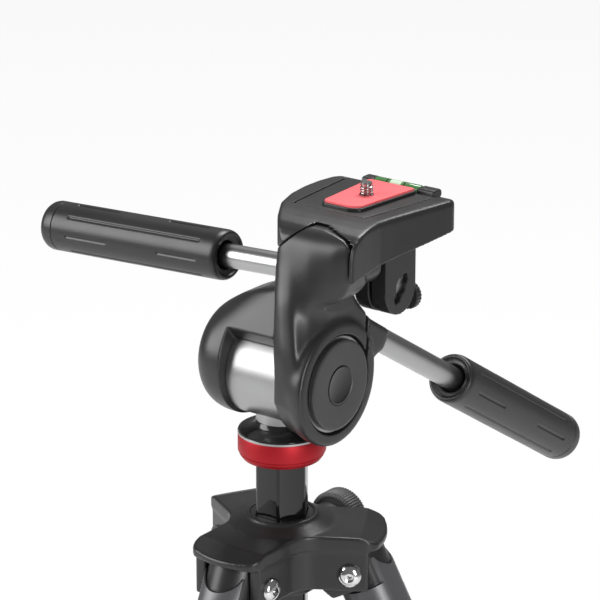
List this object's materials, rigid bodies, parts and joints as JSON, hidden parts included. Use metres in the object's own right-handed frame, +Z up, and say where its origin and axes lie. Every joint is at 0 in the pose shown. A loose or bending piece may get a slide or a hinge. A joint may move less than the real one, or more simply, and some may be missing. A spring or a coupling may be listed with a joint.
{
  "type": "camera tripod",
  "caption": "Camera tripod with a pan and tilt head: two locking handles, quick-release plate with a screw, level, centre column and telescopic legs.",
  "frame": {"origin": "on the plane the feet stand on, on the centre column's axis", "axes": "+Z up along the column; -Y the way a camera's lens looks and the side of leg a; +Y the user's side, where the tilt handle points; +X the side of the tilt barrel's end cap; the side handle points to -X"},
  "size_m": [0.3334, 0.3981, 0.4854],
  "materials": {
    "shoulder_plastic": "fine-grained satin plastic",
    "black_plastic": "satin black plastic",
    "bright_steel": "bright plated steel",
    "knob_rubber": "ribbed soft rubber",
    "steel": "turned steel",
    "black_anodised": "gloss black anodised tube",
    "alloy": "turned alloy",
    "red_anodised": "red anodised, finely turned",
    "brushed_alloy": "brushed alloy",
    "cap_grey": "satin grey plastic",
    "head_plastic": "fine-grained satin plastic",
    "grip_plastic": "fine-grained satin grip",
    "level_green": "clear vial of green spirit",
    "pad_red": "soft textured rubber",
    "leg_alloy": "grey satin anodised tube",
    "foot_rubber": "matt rubber"
  },
  "bodies": {
    "shoulder": {"spider": "shoulder_plastic", "column_bush": "black_plastic", "leg_pivot_bolts": "bright_steel"},
    "column_lock": {"lock_knob": "knob_rubber", "lock_stud": "steel"},
    "column": {"column_tube": "black_anodised", "column_end_cap": "black_plastic", "head_plug": "alloy", "red_ring": "red_anodised", "thrust_washer": "steel"},
    "pan_base": {"pan_flange": "black_plastic", "tilt_barrel": "brushed_alloy", "barrel_cap": "cap_grey", "cap_badge": "black_plastic", "pan_screw": "steel"},
    "tilt_body": {"tilt_arm": "head_plastic", "tilt_cheek": "head_plastic", "tilt_pin": "steel", "roll_shaft": "steel"},
    "tilt_handle": {"tilt_handle_rod": "brushed_alloy", "tilt_handle_grip": "grip_plastic", "tilt_handle_cap": "grip_plastic"},
    "camera_platform": {"platform": "head_plastic", "roll_clamp": "head_plastic", "deck_cover": "head_plastic", "level_holder": "head_plastic", "level_vial": "level_green", "lever_pin": "bright_steel"},
    "roll_friction_knob": {"friction_knob": "black_plastic"},
    "side_handle": {"side_handle_rod": "brushed_alloy", "side_handle_grip": "grip_plastic", "side_handle_cap": "grip_plastic"},
    "release_plate": {"quick_plate": "black_plastic", "plate_pad": "pad_red"},
    "screw": {"camera_screw": "bright_steel"},
    "plate_lever": {"release_lever": "black_plastic"},
    "leg_a": {"leg_a_fittings": "shoulder_plastic", "leg_a_upper_tube": "leg_alloy"},
    "leg_a_middle": {"leg_a_middle_tube": "leg_alloy", "leg_a_lower_collar": "shoulder_plastic"},
    "leg_a_lower": {"leg_a_lower_tube": "leg_alloy", "leg_a_foot": "foot_rubber"},
    "leg_a_upper_catch": {"leg_a_upper_lever": "black_plastic"},
    "leg_a_lower_catch": {"leg_a_lower_lever": "black_plastic"},
    "leg_b": {"leg_b_fittings": "shoulder_plastic", "leg_b_upper_tube": "leg_alloy"},
    "leg_b_middle": {"leg_b_middle_tube": "leg_alloy", "leg_b_lower_collar": "shoulder_plastic"},
    "leg_b_lower": {"leg_b_lower_tube": "leg_alloy", "leg_b_foot": "foot_rubber"},
    "leg_b_upper_catch": {"leg_b_upper_lever": "black_plastic"},
    "leg_b_lower_catch": {"leg_b_lower_lever": "black_plastic"},
    "leg_c": {"leg_c_fittings": "shoulder_plastic", "leg_c_upper_tube": "leg_alloy"},
    "leg_c_middle": {"leg_c_middle_tube": "leg_alloy", "leg_c_lower_collar": "shoulder_plastic"},
    "leg_c_lower": {"leg_c_lower_tube": "leg_alloy", "leg_c_foot": "foot_rubber"},
    "leg_c_upper_catch": {"leg_c_upper_lever": "black_plastic"},
    "leg_c_lower_catch": {"leg_c_lower_lever": "black_plastic"}
  },
  "joints": [
    {"name": "column_lock_turn", "type": "hinge", "parent": "shoulder", "child": "column_lock", "pos_m": [0, 0.041, 0.30877], "axis": [0, 1, 0], "range_deg": [0, 270]},
    {"name": "column_height", "type": "slide", "parent": "shoulder", "child": "column", "axis": [0, 0, 1], "range_m": [-0.0272, 0.19]},
    {"name": "pan", "type": "hinge", "parent": "column", "child": "pan_base", "pos_m": [0, 0, 0.36877], "axis": [0, 0, 1], "continuous": true},
    {"name": "tilt", "type": "hinge", "parent": "pan_base", "child": "tilt_body", "pos_m": [0, 0, 0.39877], "axis": [1, 0, 0], "range_deg": [-30, 90]},
    {"name": "tilt_handle_turn", "type": "hinge", "parent": "tilt_body", "child": "tilt_handle", "pos_m": [0.0235, 0.0423, 0.40837], "axis": [0, 0.8508, -0.5255], "range_deg": [0, 270]},
    {"name": "roll", "type": "hinge", "parent": "tilt_body", "child": "camera_platform", "pos_m": [0.031, 0.04, 0.45177], "axis": [0, 1, 0], "range_deg": [0, 90]},
    {"name": "roll_friction_turn", "type": "hinge", "parent": "camera_platform", "child": "roll_friction_knob", "pos_m": [0.034, 0.055, 0.42857], "axis": [0, 1, 0], "range_deg": [0, 270]},
    {"name": "side_handle_turn", "type": "hinge", "parent": "camera_platform", "child": "side_handle", "pos_m": [0.031, 0.04, 0.43717], "axis": [-0.9988, 0, -0.048], "range_deg": [0, 270]},
    {"name": "plate_lift", "type": "slide", "parent": "camera_platform", "child": "release_plate", "axis": [0, 0, 1], "range_m": [0, 0.02]},
    {"name": "camera_screw_turn", "type": "hinge", "parent": "release_plate", "child": "screw", "pos_m": [0.0203, 0.039, 0.47877], "axis": [0, 0, 1], "continuous": true},
    {"name": "plate_lever_swing", "type": "hinge", "parent": "camera_platform", "child": "plate_lever", "pos_m": [-0.0075, 0.03, 0.46877], "axis": [0, 0, 1], "range_deg": [0, 35]},
    {"name": "leg_a_fold", "type": "hinge", "parent": "shoulder", "child": "leg_a", "pos_m": [0, -0.0345, 0.30377], "axis": [1, 0, 0], "range_deg": [0, 23]},
    {"name": "leg_a_middle_slide", "type": "slide", "parent": "leg_a", "child": "leg_a_middle", "axis": [0, -0.3907, -0.9205], "range_m": [0, 0.18]},
    {"name": "leg_a_lower_slide", "type": "slide", "parent": "leg_a_middle", "child": "leg_a_lower", "axis": [0, -0.3907, -0.9205], "range_m": [0, 0.18]},
    {"name": "leg_a_upper_catch_swing", "type": "hinge", "parent": "leg_a", "child": "leg_a_upper_catch", "pos_m": [0, -0.14973, 0.09065], "axis": [-1, 0, 0], "range_deg": [0, 100]},
    {"name": "leg_a_lower_catch_swing", "type": "hinge", "parent": "leg_a_middle", "child": "leg_a_lower_catch", "pos_m": [0, -0.16181, 0.05732], "axis": [-1, 0, 0], "range_deg": [0, 100]},
    {"name": "leg_b_fold", "type": "hinge", "parent": "shoulder", "child": "leg_b", "pos_m": [0.02988, 0.01725, 0.30377], "axis": [-0.5, 0.866, 0], "range_deg": [0, 23]},
    {"name": "leg_b_middle_slide", "type": "slide", "parent": "leg_b", "child": "leg_b_middle", "axis": [0.3384, 0.1954, -0.9205], "range_m": [0, 0.18]},
    {"name": "leg_b_lower_slide", "type": "slide", "parent": "leg_b_middle", "child": "leg_b_lower", "axis": [0.3384, 0.1954, -0.9205], "range_m": [0, 0.18]},
    {"name": "leg_b_upper_catch_swing", "type": "hinge", "parent": "leg_b", "child": "leg_b_upper_catch", "pos_m": [0.12967, 0.07487, 0.09065], "axis": [0.5, -0.866, 0], "range_deg": [0, 100]},
    {"name": "leg_b_lower_catch_swing", "type": "hinge", "parent": "leg_b_middle", "child": "leg_b_lower_catch", "pos_m": [0.14014, 0.08091, 0.05732], "axis": [0.5, -0.866, 0], "range_deg": [0, 100]},
    {"name": "leg_c_fold", "type": "hinge", "parent": "shoulder", "child": "leg_c", "pos_m": [-0.02988, 0.01725, 0.30377], "axis": [-0.5, -0.866, 0], "range_deg": [0, 23]},
    {"name": "leg_c_middle_slide", "type": "slide", "parent": "leg_c", "child": "leg_c_middle", "axis": [-0.3384, 0.1954, -0.9205], "range_m": [0, 0.18]},
    {"name": "leg_c_lower_slide", "type": "slide", "parent": "leg_c_middle", "child": "leg_c_lower", "axis": [-0.3384, 0.1954, -0.9205], "range_m": [0, 0.18]},
    {"name": "leg_c_upper_catch_swing", "type": "hinge", "parent": "leg_c", "child": "leg_c_upper_catch", "pos_m": [-0.12967, 0.07487, 0.09065], "axis": [0.5, 0.866, 0], "range_deg": [0, 100]},
    {"name": "leg_c_lower_catch_swing", "type": "hinge", "parent": "leg_c_middle", "child": "leg_c_lower_catch", "pos_m": [-0.14014, 0.08091, 0.05732], "axis": [0.5, 0.866, 0], "range_deg": [0, 100]}
  ]
}
